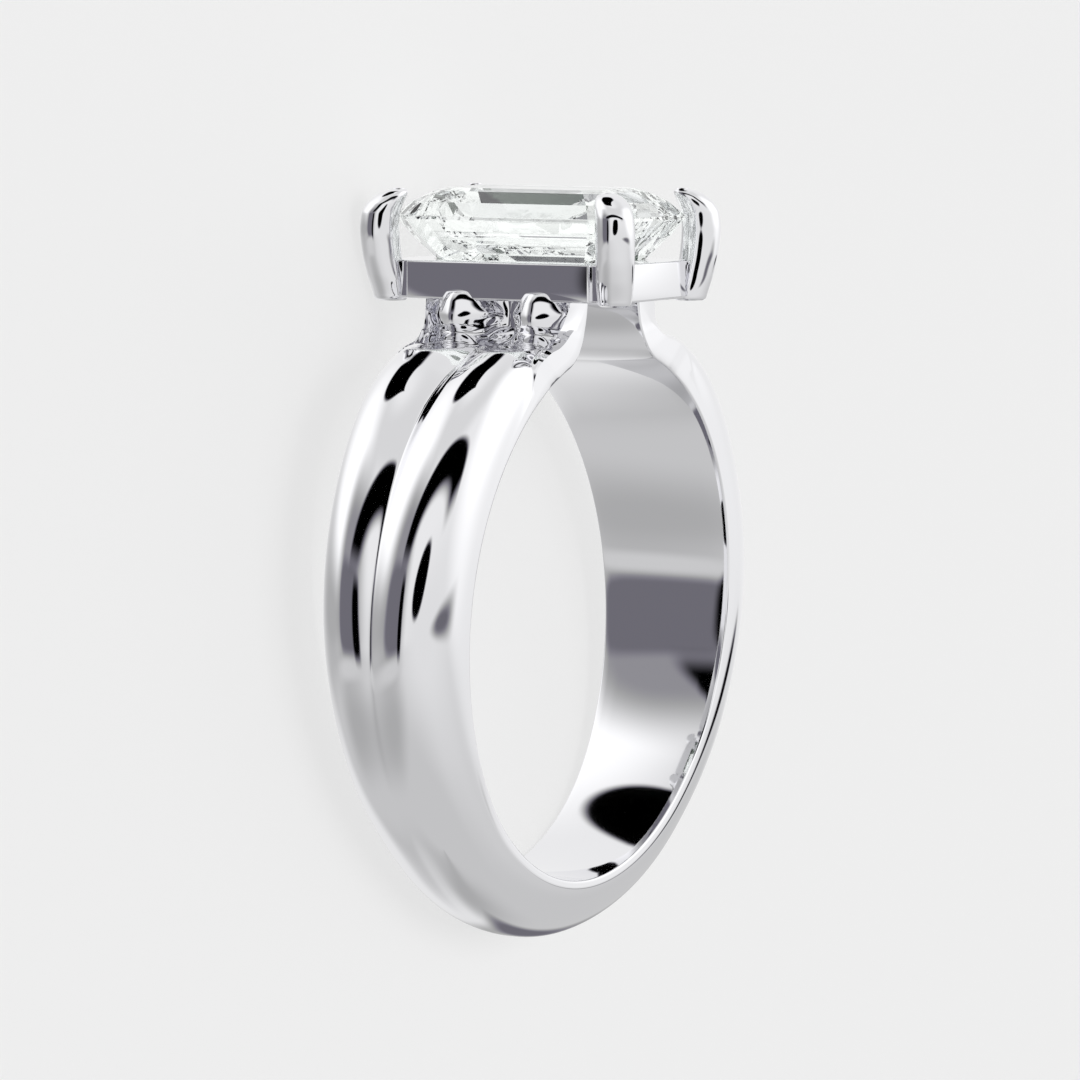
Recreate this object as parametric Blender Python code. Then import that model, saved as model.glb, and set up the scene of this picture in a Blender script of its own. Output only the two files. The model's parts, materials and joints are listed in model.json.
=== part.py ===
"""Solitaire engagement ring: a double-ridged white metal mount and an emerald-cut centre stone.

The ring is drawn with the finger hole along Y and the stone up, in millimetres, and is then laid on
its side as it rests on a table: on two of its claws and the bottom of its band. Units of the finished
part are metres.
"""
import math

import bmesh
import bpy
from mathutils import Matrix, Vector

MM = 0.001

# Finger hole and band
HOLE_RADIUS = 8.25
COMFORT_WIDTH = 0.42      # eased strip along each edge of the hole
COMFORT_DEPTH = 0.10
EDGE_RADIUS = 0.06
ARC_LEAN = math.radians(62)   # where a ridge's round outer side runs into the flank
RIB_LEAN = math.radians(78)   # the same place on a rib that stands free
RIB_POINT, RIB_NOSE = 0.39, 0.12   # how pointed a free rib is, and how far its point is rounded
RIDGE_STEPS, FLANK_STEPS = 5, 4

# One row for each section of the band, from inside the gallery (0) round to its bottom (180), in millimetres
# and degrees: angle, lean of the section, crest height, half width, ridge offset, ridge radius,
# groove depth, groove fillet, height of the outer edge, turn of the flank where it meets that edge,
# how free the ribs stand, inset and drop of the bevel on the outer edge, level that cuts the ridges off
BAND_ROWS = [
    (0, 90.0, 1.26, 2.60, 1.40, 1.60, 0.81, 0.15, 1.20, 150, 1, 0.02, 0.97, 1.56),
    (0.5, 89.8, 1.48, 2.60, 1.40, 1.60, 1.04, 0.15, 1.21, 150, 1, 0.02, 0.97, 1.78),
    (1, 89.6, 1.54, 2.60, 1.40, 1.60, 1.10, 0.15, 1.21, 150, 1, 0.03, 0.97, 1.84),
    (2.2, 89.5, 1.62, 2.60, 1.40, 1.60, 1.19, 0.15, 1.21, 150, 1, 0.04, 0.96, 1.92),
    (4.6, 88.9, 1.67, 2.60, 1.40, 1.60, 1.29, 0.15, 1.29, 150, 1, 0.09, 0.85, 1.97),
    (7, 87.3, 1.59, 2.60, 1.40, 1.53, 1.28, 0.15, 1.35, 148, 0.95, 0.15, 0.60, 1.89),
    (8.5, 84.1, 1.45, 2.61, 1.41, 1.38, 1.05, 0.15, 1.39, 145, 0.75, 0.18, 0.48, 1.75),
    (10, 80.5, 1.32, 2.62, 1.42, 1.18, 0.74, 0.15, 1.44, 140, 0.55, 0.2, 0.40, 1.62),
    (12.5, 73.8, 1.36, 2.63, 1.42, 1.05, 0.61, 0.15, 1.47, 135, 0.35, 0.2, 0.31, 1.66),
    (15.5, 68.3, 1.63, 2.64, 1.42, 0.98, 0.67, 0.14, 1.45, 128, 0.2, 0.19, 0.20, 1.50),
    (18, 60.8, 1.83, 2.64, 1.40, 0.96, 0.76, 0.12, 1.42, 118, 0.1, 0.18, 0.16, 1.46),
    (20.5, 56.3, 1.94, 2.64, 1.39, 0.98, 0.68, 0.10, 1.38, 106, 0, 0.16, 0.14, 1.44),
    (22, 55.1, 1.94, 2.64, 1.39, 1.00, 0.67, 0.09, 1.35, 98, 0, 0.14, 0.13, 1.49),
    (24, 52.7, 1.92, 2.64, 1.38, 1.04, 0.67, 0.08, 1.32, 88, 0, 0.12, 0.11, 1.56),
    (26.5, 50.8, 1.92, 2.63, 1.36, 1.10, 0.68, 0.07, 1.28, 74, 0, 0.1, 0.09, 1.73),
    (29, 50.5, 1.96, 2.62, 1.35, 1.18, 0.68, 0.05, 1.18, 56, 0, 0.06, 0.06, 1.98),
    (32.5, 50.0, 2.01, 2.62, 1.33, 1.24, 0.66, 0.05, 0.90, 34, 0, 0.02, 0.03, 2.29),
    (36, 49.5, 2.07, 2.61, 1.30, 1.28, 0.62, 0.05, 0.56, 15, 0, 0, 0.01, 2.37),
    (46, 51, 2.18, 2.57, 1.22, 1.33, 0.50, 0.05, 0.36, 2, 0, 0, 0.01, 2.48),
    (60, 60, 2.25, 2.48, 1.08, 1.35, 0.34, 0.05, 0.30, 0, 0, 0, 0.01, 2.55),
    (90, 90, 2.36, 2.26, 0.84, 1.32, 0.15, 0.05, 0.30, 0, 0, 0, 0.01, 2.66),
    (112, 112, 2.27, 2.10, 0.60, 1.35, 0.07, 0.12, 0.30, 0, 0, 0, 0.01, 2.57),
    (140, 140, 1.98, 1.90, 0.35, 1.45, 0.03, 0.20, 0.30, 0, 0, 0, 0.01, 2.28),
    (180, 180, 1.97, 1.81, 0.05, 1.60, 0.00, 0.20, 0.30, 0, 0, 0, 0.01, 2.27),
]
BAND_ANGLES = ([0, 0.25, 0.5, 1, 1.6, 2.2, 3.4, 4.6, 5.8, 7, 8.5, 10, 11.2, 12.5, 14, 15.5, 17, 18]
               + [19.2, 20.5, 22, 24, 26.5, 29, 32.5, 36] + list(range(41, 176, 5)))

# Neck of the hole: from the full circle at NECK_ANGLE up to the gallery
NECK_ANGLE = 20.0
NECK_TOP = (1.50, 10.20)
NECK_DROP, NECK_RUN = 1.15, 0.90

# Gallery frame
GALLERY_BOTTOM, GALLERY_TOP = 9.87, 11.06
LONG_PLATE, SHORT_PLATE = 3.25, 1.80      # half lengths of the raised plates
PLATE_LONG_FACE, PLATE_SHORT_FACE = 2.80, 4.20
CORNER_LONG_FACE, CORNER_SHORT_FACE = 2.65, 4.05
GALLERY_OPEN_ACROSS, GALLERY_OPEN_ALONG = 1.35, 3.10
GALLERY_BEVEL = 0.07

# Claws: height, distance along the finger hole, distance across it, radius
CLAW_SIDES = 20
CLAW_ROWS = [
    (9.78, 3.96, 2.45, 0.43),
    (9.84, 3.97, 2.46, 0.51),
    (10.00, 3.99, 2.48, 0.54),
    (10.60, 4.07, 2.62, 0.59),
    (11.30, 4.15, 2.75, 0.61),
    (12.00, 4.18, 2.82, 0.62),
    (12.50, 4.15, 2.80, 0.60),
    (12.80, 4.05, 2.71, 0.57),
    (13.02, 3.92, 2.60, 0.50),
    (13.18, 3.80, 2.50, 0.38),
    (13.28, 3.72, 2.43, 0.20),
]

# Stone: height, half length, half width, corner cut
STONE_ROWS = [
    (13.30, 2.70, 1.50, 0.45),
    (13.20, 3.05, 1.85, 0.53),
    (12.87, 3.60, 2.40, 0.67),
    (12.46, 4.02, 2.82, 0.80),
    (12.34, 4.02, 2.82, 0.80),
    (11.80, 3.62, 2.42, 0.66),
    (10.95, 2.87, 1.67, 0.42),
]
KEEL_HEIGHT, KEEL_HALF = 9.98, 1.20
STONE_GAP = 0.30


def ease(angle, column):
    """Value of a column of BAND_ROWS at an angle, by a smooth curve that never swings past its rows."""
    rows = BAND_ROWS
    steps = [rows[i + 1][0] - rows[i][0] for i in range(len(rows) - 1)]
    slopes = [(rows[i + 1][column] - rows[i][column]) / steps[i] for i in range(len(steps))]
    tangents = [slopes[0]]
    for i in range(1, len(steps)):
        a, b = slopes[i - 1], slopes[i]
        first, second = 2 * steps[i] + steps[i - 1], steps[i] + 2 * steps[i - 1]
        tangents.append((first + second) / (first / a + second / b) if a * b > 0 else 0.0)
    tangents.append(0.0)
    i = max(k for k in range(len(steps)) if angle >= rows[k][0])
    h, x = steps[i], (angle - rows[i][0]) / steps[i]
    return ((1 + 2 * x) * (1 - x) ** 2 * rows[i][column] + x * (1 - x) ** 2 * h * tangents[i]
            + x * x * (3 - 2 * x) * rows[i + 1][column] + x * x * (x - 1) * h * tangents[i + 1])


def bezier(p, x):
    y = 1 - x
    return tuple(y ** 3 * a + 3 * x * y * y * b + 3 * x * x * y * c + x ** 3 * d for a, b, c, d in zip(*p))


def hole_point(angle):
    """Point of the hole's edge curve, as distance across and height."""
    turn = math.radians(max(angle, NECK_ANGLE))
    across, up = HOLE_RADIUS * math.sin(turn), HOLE_RADIUS * math.cos(turn)
    if angle >= NECK_ANGLE:
        return across, up
    low = (across - NECK_RUN * math.cos(turn), up + NECK_RUN * math.sin(turn))
    high = (NECK_TOP[0], NECK_TOP[1] - NECK_DROP)
    return bezier((NECK_TOP, high, low, (across, up)), angle / NECK_ANGLE)


def ridge_points(crest, offset, radius, groove, fillet, free):
    """Points from the groove over one ridge, and the lean at their end.

    free blends a soft wave into a rib that stands on its own.
    """
    waves = [offset * k / RIDGE_STEPS for k in range(RIDGE_STEPS)]
    floor, half = crest - groove, RIDGE_STEPS // 2
    lean = ARC_LEAN + (RIB_LEAN - ARC_LEAN) * free
    shift = RIB_POINT * radius * free
    first = math.asin(shift / radius)

    def rib(turn):
        reach = radius * math.sin(turn) - shift
        inset = shift + math.hypot(reach, RIB_NOSE * free) - RIB_NOSE * free
        return reach, crest + math.sqrt(radius ** 2 - inset ** 2) - math.sqrt(radius ** 2 - shift ** 2)

    out, height = rib(lean)
    foot = (offset - out, height)
    hold = 0.45 * math.dist(foot, (0.0, floor))
    handles = ((0.0, floor), (0.4 * hold, floor),
               (foot[0] - hold * math.cos(lean), foot[1] - hold * math.sin(lean)), foot)
    ribs = [bezier(handles, k / half) for k in range(half)]
    for k in range(RIDGE_STEPS - half, 0, -1):
        out, height = rib(first + (lean - first) * k / (RIDGE_STEPS - half))
        ribs.append((offset - out, height))
    points = []
    for wave, (rib_along, rib_height) in zip(waves, ribs):
        soft = math.hypot(wave, fillet)
        height = crest - groove * max(1 - soft / offset, 0) ** 2
        points.append((wave + (rib_along - wave) * free, height + (rib_height - height) * free))
    for k in range(RIDGE_STEPS + 1):
        out, height = rib(first + (lean - first) * k / RIDGE_STEPS)
        points.append((offset + out, height))
    return points, lean


def half_section(angle):
    """Half of a band section, as (along, height) points from the groove over a ridge to the hole."""
    (crest, width, offset, radius, groove, fillet, edge, turn, free, inset, drop,
     level) = (ease(angle, c) for c in range(2, 14))
    points, lean = ridge_points(crest, offset, radius, groove, fillet, free)
    points = [(along, min(height, level)) for along, height in points]
    start, end = points[-1], (width - inset, edge)
    reach = math.dist(start, end)
    turn = math.radians(turn)
    out, back = (0.4 + 0.2 * free) * reach, (0.35 + 0.15 * free) * reach
    leave = (start[0] + out * math.cos(lean), start[1] - out * math.sin(lean))
    arrive = (end[0] - back * math.sin(turn), edge + back * math.cos(turn))
    points += [bezier((start, leave, arrive, end), k / FLANK_STEPS) for k in range(1, FLANK_STEPS + 1)]
    inner = width - EDGE_RADIUS
    points += [(width, edge - drop), (width, COMFORT_DEPTH + EDGE_RADIUS), (inner, COMFORT_DEPTH)]
    points += [(inner - COMFORT_WIDTH, 0.0), (0.0, 0.0)]
    return points


def band_section(angle, side):
    """Closed loop of ring points (across, along, up) of one section on one side of the ring."""
    lean = math.radians(ease(angle, 1))
    across, up = hole_point(angle)
    half = half_section(angle)
    loop = half + [(-along, height) for along, height in half[-2:0:-1]]
    return [(side * (across + h * math.sin(lean)), along, up + h * math.cos(lean)) for along, h in loop]


def loft(loops, cap_points=(None, None)):
    """Closed bmesh through loops of equal length; an end is closed by a face or, where given, by a point."""
    bm = bmesh.new()
    rings = [[bm.verts.new(p) for p in loop] for loop in loops]
    count = len(rings[0])
    for lower, upper in zip(rings, rings[1:]):
        for k in range(count):
            bm.faces.new((lower[k], lower[(k + 1) % count], upper[(k + 1) % count], upper[k]))
    for ring, point in ((rings[0], cap_points[0]), (rings[-1], cap_points[1])):
        if point is None:
            bm.faces.new(ring)
        else:
            tip = bm.verts.new(point)
            for k in range(count):
                bm.faces.new((ring[k], ring[(k + 1) % count], tip))
    bmesh.ops.recalc_face_normals(bm, faces=bm.faces)
    return bm


def make_object(name, bm, material=None):
    mesh = bpy.data.meshes.new(name)
    bm.to_mesh(mesh)
    bm.free()
    thing = bpy.data.objects.new(name, mesh)
    bpy.context.scene.collection.objects.link(thing)
    if material:
        mesh.materials.append(material)
    return thing


def band_mesh():
    right = [band_section(a, 1) for a in BAND_ANGLES]
    bottom = [band_section(180, 1)]
    left = [band_section(a, -1) for a in reversed(BAND_ANGLES)]
    return loft(right + bottom + left)


def claw_mesh(side_along, side_across):
    loops = []
    turns = [2 * math.pi * k / CLAW_SIDES for k in range(CLAW_SIDES)]
    for up, along, across, radius in CLAW_ROWS:
        x, y = side_across * across, side_along * along
        loops.append([(x + radius * math.cos(t), y + radius * math.sin(t), up) for t in turns])
    up, along, across, _ = CLAW_ROWS[-1]
    return loft(loops, (None, (side_across * across, side_along * along, up + 0.03)))


def gallery_mesh():
    quarter = [(PLATE_LONG_FACE, LONG_PLATE), (CORNER_LONG_FACE, LONG_PLATE),
               (CORNER_LONG_FACE, CORNER_SHORT_FACE),
               (SHORT_PLATE, CORNER_SHORT_FACE), (SHORT_PLATE, PLATE_SHORT_FACE)]
    outline = quarter + [(-x, y) for x, y in reversed(quarter)]
    outline += [(-x, -y) for x, y in quarter] + [(x, -y) for x, y in reversed(quarter)]
    bm = loft([[(x, y, z) for x, y in outline] for z in (GALLERY_BOTTOM, GALLERY_TOP)])
    rims = [e for e in bm.edges if e.is_manifold and e.calc_face_angle() > 0.5 and e.is_convex]
    bmesh.ops.bevel(bm, geom=rims, offset=GALLERY_BEVEL, segments=2, profile=0.5, affect="EDGES")
    return bm


def opening_mesh():
    low, high = GALLERY_BOTTOM - 0.5, GALLERY_TOP + 0.5
    x, y = GALLERY_OPEN_ACROSS, GALLERY_OPEN_ALONG
    return loft([[(x, y, z), (-x, y, z), (-x, -y, z), (x, -y, z)] for z in (low, high)])


def stone_mesh(grow=0.0):
    """Step-cut stone; grow moves every facet outwards."""
    bm = bmesh.new()
    rings = []
    middle = (STONE_ROWS[3][0] + STONE_ROWS[4][0]) / 2
    for height, length, width, cut in STONE_ROWS:
        a, b, c = length + grow, width + grow, cut + 0.59 * grow
        z = height + grow * (0.6 if height > middle else -0.6)
        corner = [(b, a - c), (b - c, a), (c - b, a), (-b, a - c),
                  (-b, c - a), (c - b, -a), (b - c, -a), (b, c - a)]
        rings.append([bm.verts.new((x, y, z)) for x, y in corner])
    for upper, lower in zip(rings, rings[1:]):
        for k in range(8):
            bm.faces.new((upper[k], upper[(k + 1) % 8], lower[(k + 1) % 8], lower[k]))
    bm.faces.new(rings[0])
    front, back = (bm.verts.new((0, s * (KEEL_HALF + grow), KEEL_HEIGHT - grow)) for s in (1, -1))
    last = rings[-1]
    for k in (0, 1, 2):
        bm.faces.new((last[k], last[k + 1], front))
        bm.faces.new((last[k + 4], last[k + 5], back))
    bm.faces.new((last[3], last[4], back, front))
    bm.faces.new((last[7], last[0], front, back))
    bmesh.ops.recalc_face_normals(bm, faces=bm.faces)
    return bm


def combine(target, others, operation):
    for other in others:
        cut = target.modifiers.new(operation.lower(), "BOOLEAN")
        cut.operation, cut.solver, cut.object = operation, "EXACT", other
        depsgraph = bpy.context.evaluated_depsgraph_get()
        mesh = bpy.data.meshes.new_from_object(target.evaluated_get(depsgraph))
        target.modifiers.clear()
        target.data = mesh
        bpy.data.objects.remove(other, do_unlink=True)


def surface(name, colour, metallic, roughness, **extra):
    material = bpy.data.materials.new(name)
    material.use_nodes = True
    shader = material.node_tree.nodes["Principled BSDF"]
    shader.inputs["Base Color"].default_value = (*colour, 1)
    shader.inputs["Metallic"].default_value = metallic
    shader.inputs["Roughness"].default_value = roughness
    for key, value in extra.items():
        shader.inputs[key.replace("_", " ")].default_value = value
    return material


def rest_tilt(points):
    """Turn about the X axis that brings the claws and the bottom of the band to one height."""
    low, high = 0.0, math.radians(20)
    for _ in range(40):
        turn = (low + high) / 2
        heights = [(p[1] * math.cos(turn) + p[2] * math.sin(turn), p[2]) for p in points]
        head = min(h for h, z in heights if z > 0)
        foot = min(h for h, z in heights if z <= 0)
        low, high = (turn, high) if head < foot else (low, turn)
    return (low + high) / 2


for thing in list(bpy.data.objects):
    bpy.data.objects.remove(thing, do_unlink=True)

metal = surface("white_gold", (0.84, 0.84, 0.86), 1.0, 0.04)
gem = surface("diamond", (1.0, 1.0, 1.0), 0.0, 0.0, IOR=2.417, Transmission_Weight=1.0)

mount = make_object("ring_mount", band_mesh(), metal)
gallery = make_object("gallery_frame", gallery_mesh())
combine(gallery, [make_object("gallery_opening", opening_mesh())], "DIFFERENCE")
claws = [make_object("claw", claw_mesh(along, across)) for along in (1, -1) for across in (1, -1)]
combine(mount, [gallery] + claws, "UNION")
combine(mount, [make_object("stone_seat", stone_mesh(STONE_GAP))], "DIFFERENCE")
stone = make_object("centre_stone", stone_mesh(), gem)

for thing in (mount, stone):
    shape = bmesh.new()
    shape.from_mesh(thing.data)
    bmesh.ops.remove_doubles(shape, verts=shape.verts, dist=0.0005)
    bmesh.ops.triangulate(shape, faces=[f for f in shape.faces if thing is mount])
    shape.to_mesh(thing.data)
    shape.free()

# Laid on its side, stone towards -Y, on two claws and the bottom of the band
tilt = rest_tilt([v.co for v in mount.data.vertices])
lie = Matrix.Rotation(tilt, 4, "X").inverted() @ Matrix.Rotation(math.pi / 2, 4, "X")
for thing in (mount, stone):
    thing.data.transform(lie)
corners = [v.co for thing in (mount, stone) for v in thing.data.vertices]
middle = Vector(((min(c.x for c in corners) + max(c.x for c in corners)) / 2,
                 (min(c.y for c in corners) + max(c.y for c in corners)) / 2, min(c.z for c in corners)))
for thing in (mount, stone):
    thing.data.transform(Matrix.Scale(MM, 4) @ Matrix.Translation(-middle))
for face in mount.data.polygons:
    face.use_smooth = True
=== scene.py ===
"""Looks of a solitaire engagement ring: mirror-polished white gold and an emerald-cut diamond.

The ring is drawn upright, in millimetres: across the finger hole, along it, and up to the stone. The
stone's table in the record then gives its place in the frame, where the ring lies on its side.
"""
import json
import math

import bmesh
import bpy
from mathutils import Matrix, Vector


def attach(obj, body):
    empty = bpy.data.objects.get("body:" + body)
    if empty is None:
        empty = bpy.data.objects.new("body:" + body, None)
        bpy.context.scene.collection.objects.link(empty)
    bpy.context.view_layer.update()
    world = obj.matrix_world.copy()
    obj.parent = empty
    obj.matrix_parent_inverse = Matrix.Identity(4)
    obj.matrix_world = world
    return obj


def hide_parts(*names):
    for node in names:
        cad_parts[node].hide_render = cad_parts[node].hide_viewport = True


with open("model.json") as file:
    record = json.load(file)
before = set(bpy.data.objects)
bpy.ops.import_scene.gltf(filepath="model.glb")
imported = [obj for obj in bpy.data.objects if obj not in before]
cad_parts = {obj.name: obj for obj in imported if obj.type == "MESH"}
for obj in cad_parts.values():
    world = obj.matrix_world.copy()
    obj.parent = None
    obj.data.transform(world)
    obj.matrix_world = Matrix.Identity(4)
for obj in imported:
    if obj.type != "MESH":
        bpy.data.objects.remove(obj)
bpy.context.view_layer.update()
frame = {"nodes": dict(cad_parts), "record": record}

MM = 0.001

# Finger hole, rounding of the band's inner edges, and convex curve across its inside
HOLE_RADIUS = 8.25
COMFORT_WIDTH, COMFORT_DEPTH = 0.42, 0.10
COMFORT_BULGE = 0.06
EDGE_RADIUS = 0.06

# Ridges: how far round its arc a soft wave and a free rib go, how pointed the rib is, as a share of its
# radius, and the rounding of that point
ARC_LEAN, RIB_LEAN = math.radians(62), math.radians(78)
RIB_POINT, RIB_NOSE = 0.39, 0.12

# Lengths of the curve handles, as shares of the distance they span: in the groove beside a free rib, and
# on the flank, where a free rib adds the second value to the first
RIB_HOLD, GROOVE_HOLD = 0.45, 0.4
FLANK_LEAVE, FLANK_ARRIVE = (0.4, 0.2), (0.35, 0.15)

# Points on each stretch of a half section, and how they crowd into the groove
RIDGE_STEPS, FLANK_STEPS, BEVEL_STEPS, SIDE_STEPS, EDGE_STEPS, HOLE_STEPS = 16, 16, 3, 2, 4, 8
GROOVE_CROWDING = 1.5

# Sections of one side: close ones down to the angle FINE_END, crowded towards the gallery, then one every
# BAND_STEP degrees
FINE_SECTIONS, FINE_END, FINE_CROWDING = 90, 30, 1.6
BAND_STEP = 1.0

# Angle from the gallery, lean of the section, crest height, half width, ridge offset, ridge radius,
# groove depth, groove fillet, height of the outer edge, turn of the flank where it meets that edge,
# freedom of the ribs, inset and drop of the bevel on the outer edge, level where the ridges are cut off
BAND_ROWS = [
    (0, 90.0, 1.26, 2.60, 1.40, 0.80, 0.81, 0.15, 1.20, 150, 1, 0.02, 0.97, 1.56),
    (0.5, 89.8, 1.48, 2.60, 1.40, 0.92, 1.04, 0.15, 1.21, 150, 1, 0.02, 0.97, 1.78),
    (1, 89.6, 1.54, 2.60, 1.40, 1.06, 1.10, 0.15, 1.21, 150, 1, 0.03, 0.97, 1.84),
    (2.2, 89.5, 1.62, 2.60, 1.40, 1.42, 1.19, 0.15, 1.21, 150, 1, 0.04, 0.96, 1.92),
    (4.6, 88.9, 1.67, 2.60, 1.40, 1.92, 1.29, 0.15, 1.29, 150, 1, 0.09, 0.85, 1.97),
    (7, 87.3, 1.57, 2.60, 1.40, 1.45, 1.28, 0.15, 1.35, 148, 0.95, 0.15, 0.60, 1.89),
    (10, 80.5, 1.26, 2.62, 1.42, 1.18, 0.74, 0.15, 1.44, 140, 0.55, 0.2, 0.40, 1.62),
    (15.5, 68.3, 1.53, 2.64, 1.42, 0.98, 0.67, 0.14, 1.45, 128, 0.2, 0.19, 0.20, 1.50),
    (20.5, 56.3, 1.94, 2.64, 1.39, 0.98, 0.68, 0.10, 1.38, 106, 0, 0.16, 0.14, 1.44),
    (24, 52.7, 1.92, 2.64, 1.38, 1.04, 0.67, 0.08, 1.32, 88, 0, 0.12, 0.11, 1.56),
    (26.5, 50.8, 1.92, 2.63, 1.36, 1.10, 0.68, 0.07, 1.28, 74, 0, 0.1, 0.09, 1.73),
    (29, 50.5, 1.96, 2.62, 1.35, 1.18, 0.68, 0.05, 1.18, 56, 0, 0.06, 0.06, 1.98),
    (32.5, 50.0, 2.01, 2.62, 1.33, 1.24, 0.66, 0.05, 0.90, 34, 0, 0.02, 0.03, 2.29),
    (36, 49.5, 2.07, 2.61, 1.30, 1.28, 0.62, 0.05, 0.56, 15, 0, 0, 0.01, 2.37),
    (46, 51, 2.18, 2.57, 1.22, 1.33, 0.50, 0.05, 0.36, 2, 0, 0, 0.01, 2.48),
    (60, 60, 2.25, 2.48, 1.08, 1.35, 0.34, 0.05, 0.30, 0, 0, 0, 0.01, 2.55),
    (90, 90, 2.36, 2.26, 0.84, 1.32, 0.15, 0.05, 0.30, 0, 0, 0, 0.01, 2.66),
    (112, 112, 2.27, 2.10, 0.60, 1.35, 0.07, 0.12, 0.30, 0, 0, 0, 0.01, 2.57),
    (140, 140, 1.98, 1.90, 0.35, 1.45, 0.03, 0.20, 0.30, 0, 0, 0, 0.01, 2.28),
    (180, 180, 1.97, 1.81, 0.05, 1.60, 0.00, 0.20, 0.30, 0, 0, 0, 0.01, 2.27),
]

# Neck of the hole: from the full circle at NECK_ANGLE up to the gallery
NECK_ANGLE = 20.0
NECK_TOP = (1.50, 10.20)
NECK_DROP, NECK_RUN = 1.15, 0.90

# Gallery frame; its outer edges, which turn by more than BEVELLED_ANGLE in radians, are bevelled
GALLERY_BOTTOM, GALLERY_TOP = 9.87, 11.06
LONG_PLATE, SHORT_PLATE = 3.25, 1.80
PLATE_LONG_FACE, PLATE_SHORT_FACE = 2.80, 4.20
CORNER_LONG_FACE, CORNER_SHORT_FACE = 2.65, 4.05
GALLERY_OPEN_ACROSS, GALLERY_OPEN_ALONG, OPENING_MARGIN = 1.35, 3.10, 0.5
GALLERY_BEVEL, BEVEL_SEGMENTS = 0.07, 4
BEVELLED_ANGLE = 0.5

# Claws: height, distance along the finger hole, distance across it, radius
CLAW_SIDES, CLAW_STEPS, CLAW_TIP = 64, 8, 0.03
CLAW_ROWS = [
    (9.78, 3.96, 2.45, 0.43),
    (9.84, 3.97, 2.46, 0.51),
    (10.00, 3.99, 2.48, 0.54),
    (10.60, 4.07, 2.62, 0.59),
    (11.30, 4.15, 2.75, 0.61),
    (12.00, 4.18, 2.82, 0.62),
    (12.50, 4.15, 2.80, 0.60),
    (12.80, 4.05, 2.71, 0.57),
    (13.02, 3.92, 2.60, 0.50),
    (13.18, 3.80, 2.50, 0.38),
    (13.28, 3.72, 2.43, 0.20),
]

# Stone, whose seat is cut with a small gap: height, half length, half width, corner cut
STONE_ROWS = [
    (13.30, 2.70, 1.50, 0.45),
    (13.20, 3.05, 1.85, 0.53),
    (12.87, 3.60, 2.40, 0.67),
    (12.46, 4.02, 2.82, 0.80),
    (12.34, 4.02, 2.82, 0.80),
    (11.80, 3.62, 2.42, 0.66),
    (10.95, 2.87, 1.67, 0.42),
]
KEEL_HEIGHT, KEEL_HALF = 9.98, 1.20
STONE_GAP = 0.02

# Shares of the gap by which the corner cut grows, and the steps move away from the girdle
CUT_GROWTH, STEP_GROWTH = 0.59, 0.6

# Edges that turn by more than this stay sharp, and the way that solids are joined and cut
SHARP_ANGLE = math.radians(24)
SOLVER = "EXACT"

# Metal: tone on the polish, and a dark green-grey painted shade on the walls of the gallery's opening
# under the stone, width of the change between them, and the fine variation of the polish
POLISHED, PAINTED_OPENING_SHADE = (0.90, 0.90, 0.92), (0.13, 0.16, 0.135)
EDGE_BLUR = 0.02
POLISH_GRAIN, POLISH_DETAIL = 900.0, 3.0
POLISH_ROUGHNESS = (0.025, 0.06)

# Stone: the two tints it varies between, the scale of that, and its index of refraction
STONE_TINTS = (0.940, 0.985, 0.955), (0.970, 0.985, 0.975)
STONE_GRAIN = 500.0
STONE_IOR = 2.417

# Floor, in metres
FLOOR_HALF, FLOOR_THICKNESS = 3, 0.02
FLOOR_TONE, FLOOR_ROUGHNESS = (0.86, 0.86, 0.86), 0.6

# Camera of the photo, in degrees and millimetres: turn from the hole's axis, rise and roll, distance and
# height of the point it looks at, focal length and sensor width; the clip distance is in metres
CAMERA_TURN, CAMERA_RISE, CAMERA_ROLL = 60.86, 5.11, 0.14
CAMERA_DISTANCE, CAMERA_TARGET = 260.0, 2.24
CAMERA_LENS, CAMERA_SENSOR, CAMERA_CLIP = 276.33, 36, 0.001

# Studio seen in the metal. Directions are degrees round from the hole's axis towards +across, and up.
# Each light or card: round, up, half width, half height, turn, softness, squareness, tone. A later card
# covers the ones before it.
STUDIO_CARDS = {
    "ground glow": (30, -10, 70, 24, 0, 0.7, 2, 0.80),
    "back ground": (-143, -34, 24, 34, 0, 0.6, 2, 0.84),
    "dim ground": (-118, -72, 50, 20, 0, 0.8, 2, 0.44),
    "side ground": (128, -34, 30, 14, 0, 0.8, 2, 0.44),
    "front shade": (62, 66, 150, 14, 0, 0.6, 2, 0.74),
    "left light": (-38, 24, 34, 27, 20, 0.45, 2, 1.25),
    "back light": (162, 36, 44, 26, 0, 0.5, 2, 1.15),
    "back shade": (166, -2, 46, 12, 0, 0.7, 2, 0.44),
    "grey wall": (118, 17, 24, 30, 0, 0.5, 3, 0.30),
    "plate card": (117, 4, 19, 15, 0, 0.18, 4, 0.165),
    "wall foot": (122, -16, 26, 3.5, 0, 0.6, 2, 0.64),
    "post": (103, 1, 5, 14, 0, 0.25, 4, 0.0),
    "lens card": (58, 11, 17, 11, -25, 0.12, 2, 0.0),
    "top card": (-153, 71, 50, 18, -8, 0.08, 2, 0.0),
    "floor line": (-8, -7, 22, 2.5, 0, 0.6, 2, 0.15),
    "back floor": (-113, -34, 9, 20, 12, 0.5, 2, 0.16),
    "back slit": (-70, -9.5, 8, 1.2, -8, 0.4, 2, 0.0),
}
WALL_TONE, GROUND_TONE = 0.90, 0.60
HORIZON = (-13, -6)

# Black arch between two ellipses, without the part below its foot
ARCH_OUTER = (61, 20, 56, 37, 0, 0.04, 2)
ARCH_INNER = (60, 14, 40, 26, 0, 0.14, 2)
ARCH_FOOT = (15, 27)

# Tones below the first value get the whole tint, and those above the second none of it
TINTED_TONES, SHADE_TINT = (0.16, 0.42), (1.0, 0.965, 1.13)

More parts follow.
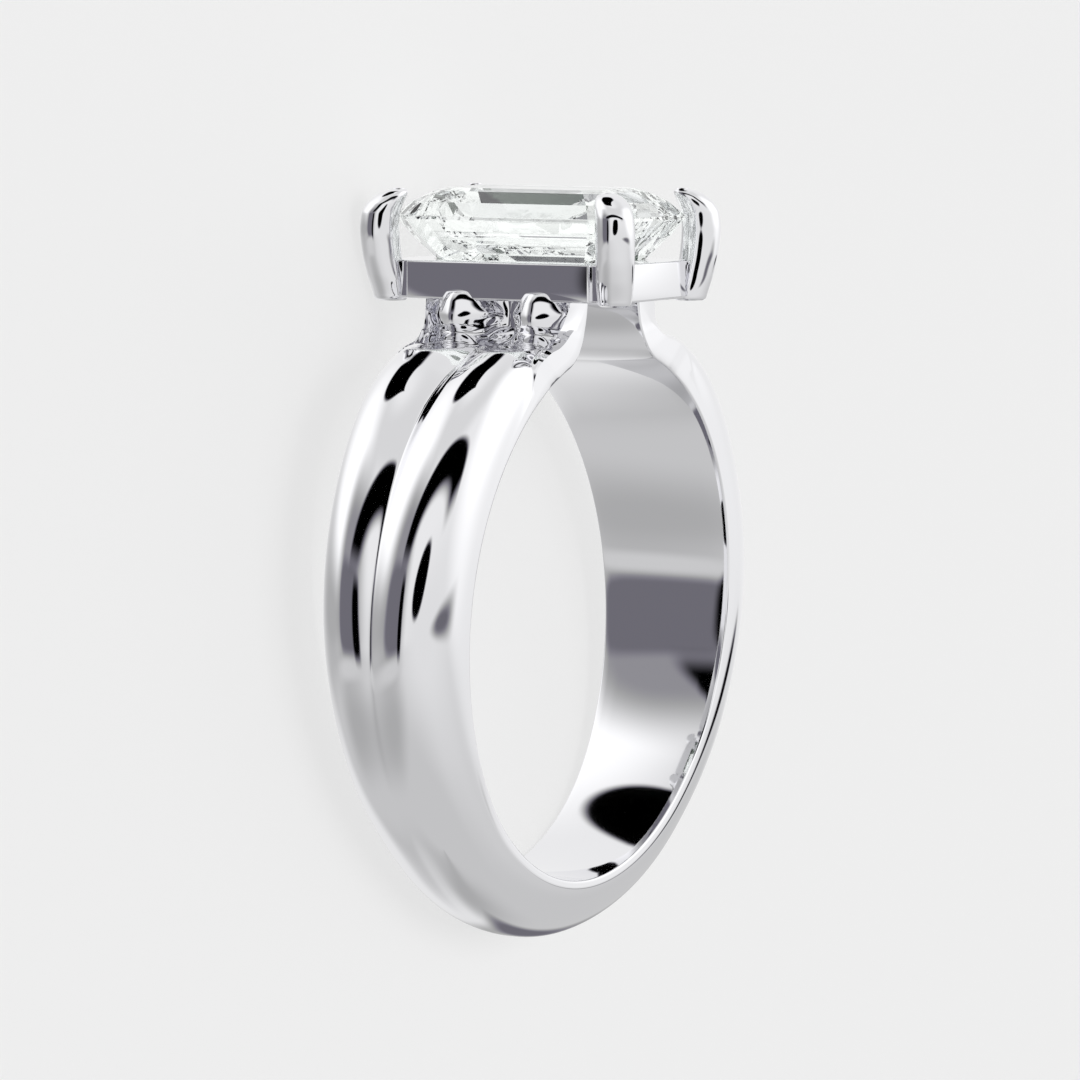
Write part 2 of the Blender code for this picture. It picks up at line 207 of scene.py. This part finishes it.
# Simpler and brighter studio seen by the rays that come through the stone
STONE_GROUND, STONE_SKY = 0.72, 1.12
STONE_HORIZON = (-25, 0)
STONE_CARDS = (
    (138, 49, 5, 4, 0, 0.3, 2, 0.25),
    (-133, 44, 6, 4, 0, 0.3, 2, 0.10),
    (-67, -35, 12, 6, 0, 0.3, 2, 0.25),
    (14, -1, 6, 4, 0, 0.3, 2, 0.20),
    (50, 42, 14, 5, 0, 0.3, 2, 0.30),
)
STONE_BOUNCES = 24

# Lamps above the floor: an even one without shadows, and a soft one in metres and watts
ROOM_POWER = 2.88
LAMP_POWER, LAMP_SIZE, LAMP_HEIGHT = 0.22, 0.30, 0.50


def ring_matrix():
    """From the upright ring in millimetres to the frame, read from the stone's table in the record."""
    table = next(m for m in frame["record"]["mounts"] if m["name"] == "stone_table")
    up, across = Vector(table["axis"]).normalized(), Vector((1, 0, 0))
    along = up.cross(across)
    origin = Vector(table["pos_m"]) - up * STONE_ROWS[0][0] * MM
    turn = Matrix((across, along, up)).transposed()
    return Matrix.Translation(origin) @ turn.to_4x4() @ Matrix.Scale(MM, 4)


def smooth_value(rows, at, column):
    """Value of a column at a place in the first column, by a smooth curve that never overshoots."""
    steps = [rows[i + 1][0] - rows[i][0] for i in range(len(rows) - 1)]
    slopes = [(rows[i + 1][column] - rows[i][column]) / steps[i] for i in range(len(steps))]
    tangents = [slopes[0]]
    for i in range(1, len(steps)):
        a, b = slopes[i - 1], slopes[i]
        first, second = 2 * steps[i] + steps[i - 1], steps[i] + 2 * steps[i - 1]
        tangents.append((first + second) / (first / a + second / b) if a * b > 0 else 0.0)
    tangents.append(0.0)
    i = max(k for k in range(len(steps)) if at >= rows[k][0])
    h, x = steps[i], (at - rows[i][0]) / steps[i]
    return ((1 + 2 * x) * (1 - x) ** 2 * rows[i][column] + x * (1 - x) ** 2 * h * tangents[i]
            + x * x * (3 - 2 * x) * rows[i + 1][column] + x * x * (x - 1) * h * tangents[i + 1])


def bezier(points, x):
    """Point of a cubic curve between the first and the last of four points, with x from 0 to 1."""
    y = 1 - x
    return tuple(y ** 3 * a + 3 * x * y * y * b + 3 * x * x * y * c + x ** 3 * d
                 for a, b, c, d in zip(*points))


def hole_point(angle):
    """Point of the hole's edge curve, as distance across and height."""
    turn = math.radians(max(angle, NECK_ANGLE))
    across, up = HOLE_RADIUS * math.sin(turn), HOLE_RADIUS * math.cos(turn)
    if angle >= NECK_ANGLE:
        return across, up
    low = (across - NECK_RUN * math.cos(turn), up + NECK_RUN * math.sin(turn))
    high = (NECK_TOP[0], NECK_TOP[1] - NECK_DROP)
    return bezier((NECK_TOP, high, low, (across, up)), angle / NECK_ANGLE)


def ridge_points(crest, offset, radius, groove, fillet, free):
    """Points from the groove over one ridge; free blends a soft wave into a round rib on its own."""
    waves = [offset * (k / RIDGE_STEPS) ** GROOVE_CROWDING for k in range(RIDGE_STEPS)]
    floor, half = crest - groove, RIDGE_STEPS // 2
    lean = ARC_LEAN + (RIB_LEAN - ARC_LEAN) * free
    shift = RIB_POINT * radius * free
    first = math.asin(shift / radius)

    def rib(turn):
        reach = radius * math.sin(turn) - shift
        inset = shift + math.hypot(reach, RIB_NOSE * free) - RIB_NOSE * free
        return reach, crest + math.sqrt(radius ** 2 - inset ** 2) - math.sqrt(radius ** 2 - shift ** 2)

    out, height = rib(lean)
    foot = (offset - out, height)
    hold = RIB_HOLD * math.dist(foot, (0.0, floor))
    arrive = (foot[0] - hold * math.cos(lean), foot[1] - hold * math.sin(lean))
    handles = ((0.0, floor), (GROOVE_HOLD * hold, floor), arrive, foot)
    ribs = [bezier(handles, k / half) for k in range(half)]
    for k in range(RIDGE_STEPS - half, 0, -1):
        out, height = rib(first + (lean - first) * k / (RIDGE_STEPS - half))
        ribs.append((offset - out, height))
    points = []
    for wave, (rib_along, rib_height) in zip(waves, ribs):
        soft = math.hypot(wave, fillet)
        height = crest - groove * max(1 - soft / offset, 0) ** 2
        points.append((wave + (rib_along - wave) * free, height + (rib_height - height) * free))
    for k in range(RIDGE_STEPS + 1):
        out, height = rib(first + (lean - first) * k / RIDGE_STEPS)
        points.append((offset + out, height))
    return points, lean


def half_section(angle):
    """Half of a band section, over one ridge to the middle of the hole: (along, height) points."""
    (crest, width, offset, radius, groove, fillet, edge, turn, free, inset, drop,
     level) = (smooth_value(BAND_ROWS, angle, c) for c in range(2, 14))
    points, lean = ridge_points(crest, offset, radius, groove, fillet, free)
    points = [(along, min(height, level)) for along, height in points]
    start, end = points[-1], (width - inset, edge)
    reach = math.dist(start, end)
    turn = math.radians(turn)
    out, back = ((plain + more * free) * reach for plain, more in (FLANK_LEAVE, FLANK_ARRIVE))
    leave = (start[0] + out * math.cos(lean), start[1] - out * math.sin(lean))
    arrive = (end[0] - back * math.sin(turn), edge + back * math.cos(turn))
    points += [bezier((start, leave, arrive, end), k / FLANK_STEPS) for k in range(1, FLANK_STEPS + 1)]
    low = COMFORT_DEPTH + EDGE_RADIUS
    for k in range(1, BEVEL_STEPS + 1):
        points.append((width - inset * (1 - k / BEVEL_STEPS), edge - drop * k / BEVEL_STEPS))
    for k in range(1, SIDE_STEPS + 1):
        points.append((width, edge - drop + (low - edge + drop) * k / (SIDE_STEPS + 1)))
    for k in range(EDGE_STEPS + 1):
        t = math.radians(90 * k / EDGE_STEPS)
        points.append((width - EDGE_RADIUS * (1 - math.cos(t)), low - EDGE_RADIUS * math.sin(t)))
    inner = width - EDGE_RADIUS - COMFORT_WIDTH
    points.append((inner + COMFORT_WIDTH / 2, (COMFORT_DEPTH + COMFORT_BULGE) / 2))
    for k in range(HOLE_STEPS, -1, -1):
        points.append((inner * k / HOLE_STEPS, COMFORT_BULGE * (k / HOLE_STEPS) ** 2))
    return points


def band_section(angle, side):
    """Closed loop of ring points (across, along, up) of one section on one side of the ring."""
    lean = math.radians(smooth_value(BAND_ROWS, angle, 1))
    across, up = hole_point(angle)
    half = half_section(angle)
    loop = half + [(-along, height) for along, height in half[-2:0:-1]]
    out, rise = math.sin(lean), math.cos(lean)
    return [(side * (across + height * out), along, up + height * rise) for along, height in loop]


def loft(loops, cap_points=(None, None)):
    """Closed bmesh through loops of equal length, with a face or, where given, a point at each end."""
    bm = bmesh.new()
    rings = [[bm.verts.new(p) for p in loop] for loop in loops]
    count = len(rings[0])
    for lower, upper in zip(rings, rings[1:]):
        for k in range(count):
            bm.faces.new((lower[k], lower[(k + 1) % count], upper[(k + 1) % count], upper[k]))
    for ring, point in ((rings[0], cap_points[0]), (rings[-1], cap_points[1])):
        if point is None:
            bm.faces.new(ring)
        else:
            tip = bm.verts.new(point)
            for k in range(count):
                bm.faces.new((ring[k], ring[(k + 1) % count], tip))
    bmesh.ops.recalc_face_normals(bm, faces=bm.faces)
    return bm


def band_angles():
    """Angles of the sections of one side, from the gallery to just above the bottom of the band."""
    fine = [FINE_END * (k / FINE_SECTIONS) ** FINE_CROWDING for k in range(FINE_SECTIONS)]
    return fine + [FINE_END + BAND_STEP * k for k in range(int((180 - FINE_END) / BAND_STEP))]


def band_mesh():
    """Whole band with its necks and knobs, from the gallery round to the gallery."""
    angles = band_angles()
    right = [band_section(a, 1) for a in angles]
    left = [band_section(a, -1) for a in reversed(angles)]
    return loft(right + [band_section(180, 1)] + left)


def claw_mesh(side_along, side_across):
    """One claw, at the corner of the gallery that the two signs name."""
    heights = []
    for lower, upper in zip(CLAW_ROWS, CLAW_ROWS[1:]):
        heights += [lower[0] + (upper[0] - lower[0]) * k / CLAW_STEPS for k in range(CLAW_STEPS)]
    heights.append(CLAW_ROWS[-1][0])
    turns = [2 * math.pi * k / CLAW_SIDES for k in range(CLAW_SIDES)]
    loops = []
    for up in heights:
        along, across, radius = (smooth_value(CLAW_ROWS, up, column) for column in (1, 2, 3))
        x, y = side_across * across, side_along * along
        loops.append([(x + radius * math.cos(t), y + radius * math.sin(t), up) for t in turns])
    up, along, across, _ = CLAW_ROWS[-1]
    return loft(loops, (None, (side_across * across, side_along * along, up + CLAW_TIP)))


def gallery_mesh():
    """Solid block of the gallery, with its four plates standing out between the corners."""
    quarter = [
        (PLATE_LONG_FACE, LONG_PLATE),
        (CORNER_LONG_FACE, LONG_PLATE),
        (CORNER_LONG_FACE, CORNER_SHORT_FACE),
        (SHORT_PLATE, CORNER_SHORT_FACE),
        (SHORT_PLATE, PLATE_SHORT_FACE),
    ]
    outline = quarter + [(-x, y) for x, y in reversed(quarter)]
    outline += [(-x, -y) for x, y in quarter] + [(x, -y) for x, y in reversed(quarter)]
    bm = loft([[(x, y, z) for x, y in outline] for z in (GALLERY_BOTTOM, GALLERY_TOP)])
    convex = [edge for edge in bm.edges if edge.is_manifold and edge.is_convex]
    rims = [edge for edge in convex if edge.calc_face_angle() > BEVELLED_ANGLE]
    size, steps = GALLERY_BEVEL, BEVEL_SEGMENTS
    bmesh.ops.bevel(bm, geom=rims, offset=size, segments=steps, profile=0.5, affect="EDGES")
    return bm


def opening_mesh():
    """Block that is cut out of the gallery's middle."""
    low, high = GALLERY_BOTTOM - OPENING_MARGIN, GALLERY_TOP + OPENING_MARGIN
    x, y = GALLERY_OPEN_ACROSS, GALLERY_OPEN_ALONG
    return loft([[(x, y, z), (-x, y, z), (-x, -y, z), (x, -y, z)] for z in (low, high)])


def seat_mesh(gap):
    """Shape of the step-cut stone with every facet moved outwards by a gap."""
    bm = bmesh.new()
    rings = []
    middle = (STONE_ROWS[3][0] + STONE_ROWS[4][0]) / 2
    for height, length, width, cut in STONE_ROWS:
        a, b, c = length + gap, width + gap, cut + CUT_GROWTH * gap
        z = height + gap * (STEP_GROWTH if height > middle else -STEP_GROWTH)
        half = [(b, a - c), (b - c, a), (c - b, a), (-b, a - c)]
        rings.append([bm.verts.new((x, y, z)) for x, y in half + [(-x, -y) for x, y in half]])
    sides = len(rings[0])
    for upper, lower in zip(rings, rings[1:]):
        for k in range(sides):
            bm.faces.new((upper[k], upper[(k + 1) % sides], lower[(k + 1) % sides], lower[k]))
    bm.faces.new(rings[0])
    front, back = (bm.verts.new((0, s * (KEEL_HALF + gap), KEEL_HEIGHT - gap)) for s in (1, -1))
    last = rings[-1]
    for k, keel in ((0, front), (1, front), (2, front), (4, back), (5, back), (6, back)):
        bm.faces.new((last[k], last[k + 1], keel))
    bm.faces.new((last[3], last[4], back, front))
    bm.faces.new((last[7], last[0], front, back))
    bmesh.ops.recalc_face_normals(bm, faces=bm.faces)
    return bm


def floor_mesh():
    """Sheet under the ring, with its top at height 0."""
    corners = [(x * FLOOR_HALF, y * FLOOR_HALF) for x, y in ((1, -1), (1, 1), (-1, 1), (-1, -1))]
    return loft([[(x, y, z) for x, y in corners] for z in (-FLOOR_THICKNESS, 0.0)])


def make_object(name, bm):
    """Object made of a bmesh, which is used up."""
    mesh = bpy.data.meshes.new(name)
    bm.to_mesh(mesh)
    bm.free()
    thing = bpy.data.objects.new(name, mesh)
    bpy.context.scene.collection.objects.link(thing)
    return thing


def combine(target, others, operation):
    """Joins the other objects to the target, or cuts them out of it."""
    for other in others:
        cut = target.modifiers.new(operation.lower(), "BOOLEAN")
        cut.operation, cut.solver, cut.object = operation, SOLVER, other
        depsgraph = bpy.context.evaluated_depsgraph_get()
        mesh = bpy.data.meshes.new_from_object(target.evaluated_get(depsgraph))
        target.modifiers.clear()
        target.data = mesh
        bpy.data.objects.remove(other, do_unlink=True)


class Wiring:
    """Writes arithmetic as nodes of one tree."""

    def __init__(self, tree):
        self.tree = tree

    def math(self, operation, *values):
        """Result of one operation on numbers or sockets."""
        node = self.tree.nodes.new("ShaderNodeMath")
        node.operation = operation
        for socket, value in zip(node.inputs, values):
            self.feed(socket, value)
        return node.outputs[0]

    def feed(self, socket, value):
        """Gives a socket a number, or a link where the value is a socket."""
        if isinstance(value, bpy.types.NodeSocket):
            self.tree.links.new(value, socket)
        else:
            socket.default_value = value

    def dot(self, vector, axis):
        """How far a vector goes along an axis."""
        node = self.tree.nodes.new("ShaderNodeVectorMath")
        node.operation = "DOT_PRODUCT"
        self.tree.links.new(vector, node.inputs[0])
        node.inputs[1].default_value = axis
        return node.outputs["Value"]

    def weighted(self, first, first_share, second, second_share):
        """Sum of two values, each times its share."""
        parts = self.math("MULTIPLY", first, first_share), self.math("MULTIPLY", second, second_share)
        return self.math("ADD", *parts)

    def step(self, value, low, high, start=0.0, end=1.0):
        """Smooth change from start to end while the value goes from low to high."""
        node = self.tree.nodes.new("ShaderNodeMapRange")
        node.interpolation_type = "SMOOTHSTEP"
        for socket, number in zip(node.inputs, (value, low, high, start, end)):
            self.feed(socket, number)
        return node.outputs[0]

    def mix(self, factor, first, second):
        """Value between the first, at factor 0, and the second, at factor 1."""
        node = self.tree.nodes.new("ShaderNodeMix")
        for socket, value in zip(node.inputs, (factor, None, first, second)):
            if value is not None:
                self.feed(socket, value)
        return node.outputs[0]

    def color(self, factor, first, second):
        """Colour between the first, at factor 0, and the second, at factor 1."""
        node = self.tree.nodes.new("ShaderNodeCombineColor")
        for socket, a, b in zip(node.inputs, first, second):
            self.feed(socket, self.mix(factor, a, b))
        return node.outputs[0]

    def inside(self, value, limit):
        """1 where the value is between minus and plus the limit."""
        return self.step(self.math("ABSOLUTE", value), limit, limit + EDGE_BLUR, 1.0, 0.0)

    def patch(self, around, rise, shape):
        """1 inside an ellipse or rounded box of directions, 0 outside it."""
        round_at, rise_at, half_width, half_height, turn, soft, square = shape[:7]
        u = self.math("WRAP", self.math("SUBTRACT", around, round_at), 180, -180)
        v = self.math("SUBTRACT", rise, rise_at)
        c, s = math.cos(math.radians(turn)), math.sin(math.radians(turn))
        along = self.weighted(u, c / half_width, v, s / half_width)
        over = self.weighted(v, c / half_height, u, -s / half_height)
        powers = [self.math("POWER", self.math("ABSOLUTE", part), square) for part in (along, over)]
        total = self.math("ADD", *powers)
        return self.step(self.math("POWER", total, 1 / square), 1 - soft, 1 + soft, 1.0, 0.0)


def new_material(name):
    """Material with its nodes, links and shader."""
    material = bpy.data.materials.new(name)
    material.use_nodes = True
    tree = material.node_tree
    return material, tree.nodes, tree.links, tree.nodes["Principled BSDF"]


def metal_material(to_frame):
    """Polished white gold; the walls inside the gallery's opening get a dark green-grey painted shade."""
    material, nodes, links, shader = new_material("white_gold")
    shader.inputs["Metallic"].default_value = 1.0
    place = nodes.new("ShaderNodeTexCoord").outputs["Object"]
    wire = Wiring(material.node_tree)
    to_ring = to_frame.inverted()
    across, along, up = (wire.math("ADD", wire.dot(place, row[:3]), row[3]) for row in to_ring[:3])
    # The walls inside the gallery's opening take a dark painted shade in place of the polished tone
    sides = [wire.inside(across, GALLERY_OPEN_ACROSS), wire.inside(along, GALLERY_OPEN_ALONG)]
    above = wire.step(up, GALLERY_BOTTOM - EDGE_BLUR, GALLERY_BOTTOM)
    opening_shade = wire.math("MULTIPLY", wire.math("MULTIPLY", *sides), above)
    links.new(wire.color(opening_shade, POLISHED, PAINTED_OPENING_SHADE), shader.inputs["Base Color"])
    noise = nodes.new("ShaderNodeTexNoise")
    noise.inputs["Scale"].default_value = POLISH_GRAIN
    noise.inputs["Detail"].default_value = POLISH_DETAIL
    links.new(place, noise.inputs["Vector"])
    spread = nodes.new("ShaderNodeMapRange")
    spread.inputs["To Min"].default_value, spread.inputs["To Max"].default_value = POLISH_ROUGHNESS
    links.new(noise.outputs["Fac"], spread.inputs["Value"])
    links.new(spread.outputs["Result"], shader.inputs["Roughness"])
    return material


def stone_material():
    """Clear stone with a faint green tint that varies a little from place to place."""
    material, nodes, links, shader = new_material("diamond")
    noise = nodes.new("ShaderNodeTexNoise")
    noise.inputs["Scale"].default_value = STONE_GRAIN
    links.new(nodes.new("ShaderNodeTexCoord").outputs["Object"], noise.inputs["Vector"])
    tint = Wiring(material.node_tree).color(noise.outputs["Fac"], *STONE_TINTS)
    links.new(tint, shader.inputs["Base Color"])
    shader.inputs["Roughness"].default_value = 0.0
    shader.inputs["IOR"].default_value = STONE_IOR
    shader.inputs["Transmission Weight"].default_value = 1.0
    return material


def floor_material():
    """Even pale paint."""
    material, _, _, shader = new_material("floor_paint")
    shader.inputs["Base Color"].default_value = (*FLOOR_TONE, 1)
    shader.inputs["Roughness"].default_value = FLOOR_ROUGHNESS
    return material


def add_camera(to_frame):
    """Camera of the photo, which sees the ring upright."""
    turn, rise = math.radians(CAMERA_TURN), math.radians(CAMERA_RISE)
    flat = math.cos(rise)
    toward = Vector((math.sin(turn) * flat, math.cos(turn) * flat, math.sin(rise)))
    place = toward * CAMERA_DISTANCE
    side = Vector((0, 0, 1)).cross(toward).normalized()
    target = toward.cross(side) * CAMERA_TARGET
    back = (place - target).normalized()
    right = Vector((0, 0, 1)).cross(back).normalized()
    above = back.cross(right)
    roll = Matrix.Rotation(math.radians(CAMERA_ROLL), 3, back)
    turn_matrix = Matrix((roll @ right, roll @ above, back)).transposed()
    camera = bpy.data.objects.new("camera", bpy.data.cameras.new("camera"))
    bpy.context.scene.collection.objects.link(camera)
    camera.data.lens = CAMERA_LENS
    camera.data.sensor_width = CAMERA_SENSOR
    camera.data.clip_start = CAMERA_CLIP
    spin = (to_frame.to_3x3().normalized() @ turn_matrix).to_4x4()
    camera.matrix_world = Matrix.Translation(to_frame @ place) @ spin
    bpy.context.scene.camera = camera


def add_studio(to_frame):
    """World with the lights and cards that the metal mirrors and the stone lets through."""
    world = bpy.data.worlds.new("studio")
    bpy.context.scene.world = world
    world.use_nodes = True
    tree = world.node_tree
    wire = Wiring(tree)
    direction = tree.nodes.new("ShaderNodeTexCoord").outputs["Generated"]
    axes = to_frame.to_3x3().normalized().transposed()
    across, along, up = (wire.dot(direction, axis) for axis in axes)
    around = wire.math("DEGREES", wire.math("ARCTAN2", across, along))
    rise = wire.math("DEGREES", wire.math("ARCSINE", up))
    tone = wire.step(rise, *HORIZON, GROUND_TONE, WALL_TONE)
    for card in STUDIO_CARDS.values():
        tone = wire.mix(wire.patch(around, rise, card), tone, card[-1])
    rims = [wire.patch(around, rise, shape) for shape in (ARCH_OUTER, ARCH_INNER)]
    arch = wire.math("SUBTRACT", *rims)
    arch = wire.math("MULTIPLY", wire.math("MAXIMUM", arch, 0.0), wire.step(rise, *ARCH_FOOT))
    tone = wire.mix(arch, tone, 0.0)
    stone_tone = wire.step(rise, *STONE_HORIZON, STONE_GROUND, STONE_SKY)
    for card in STONE_CARDS:
        stone_tone = wire.mix(wire.patch(around, rise, card), stone_tone, card[-1])
    through_stone = tree.nodes.new("ShaderNodeLightPath").outputs["Is Transmission Ray"]
    tone = wire.mix(through_stone, tone, stone_tone)
    background = tree.nodes["Background"]
    shade = wire.step(tone, *TINTED_TONES, 1.0, 0.0)
    tree.links.new(wire.color(shade, (1.0, 1.0, 1.0), SHADE_TINT), background.inputs["Color"])
    tree.links.new(tone, background.inputs["Strength"])
    world.cycles_visibility.diffuse = False
    world.cycles.sampling_method = "NONE"


def add_lamp(name, kind, power, shadow):
    """Lamp above the floor, which it lights; it stays out of the reflections."""
    lamp = bpy.data.lights.new(name, kind)
    lamp.energy, lamp.use_shadow = power, shadow
    light = bpy.data.objects.new(name, lamp)
    bpy.context.scene.collection.objects.link(light)
    light.location = (0, 0, LAMP_HEIGHT)
    light.visible_glossy = light.visible_transmission = light.visible_camera = False
    return lamp


to_frame = ring_matrix()

# Metal: band, gallery and claws as one piece, with the stone's seat cut out of it
ring_metal = make_object("ring_metal", band_mesh())
gallery = make_object("gallery", gallery_mesh())
combine(gallery, [make_object("gallery_opening", opening_mesh())], "DIFFERENCE")
claws = [make_object("claw", claw_mesh(along, across)) for along in (1, -1) for across in (1, -1)]
combine(ring_metal, [gallery] + claws, "UNION")
combine(ring_metal, [make_object("stone_seat", seat_mesh(STONE_GAP))], "DIFFERENCE")
ring_metal.data.transform(to_frame)
ring_metal.data.shade_smooth()
ring_metal.data.set_sharp_from_angle(angle=SHARP_ANGLE)
ring_metal.data.materials.clear()
ring_metal.data.materials.append(metal_material(to_frame))
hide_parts("ring_mount")
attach(ring_metal, "root")

# Stone, carried over from the CAD
centre_stone = frame["nodes"]["centre_stone"]
centre_stone.data.materials.clear()
centre_stone.data.materials.append(stone_material())

# Floor, which the metal and the stone don't mirror
floor = make_object("floor", floor_mesh())
floor.data.materials.append(floor_material())
floor.visible_glossy = False
floor.visible_transmission = False

# Camera and light
add_camera(to_frame)
add_lamp("room_light", "SUN", ROOM_POWER, False)
add_lamp("soft_light", "AREA", LAMP_POWER, True).size = LAMP_SIZE
add_studio(to_frame)
bpy.context.scene.view_settings.view_transform = "Standard"

# Light has to turn many times inside the stone, and the metal throws no bright patches on the floor
light_paths = bpy.context.scene.cycles
light_paths.max_bounces = light_paths.transmission_bounces = STONE_BOUNCES
light_paths.glossy_bounces = STONE_BOUNCES
light_paths.caustics_reflective = False
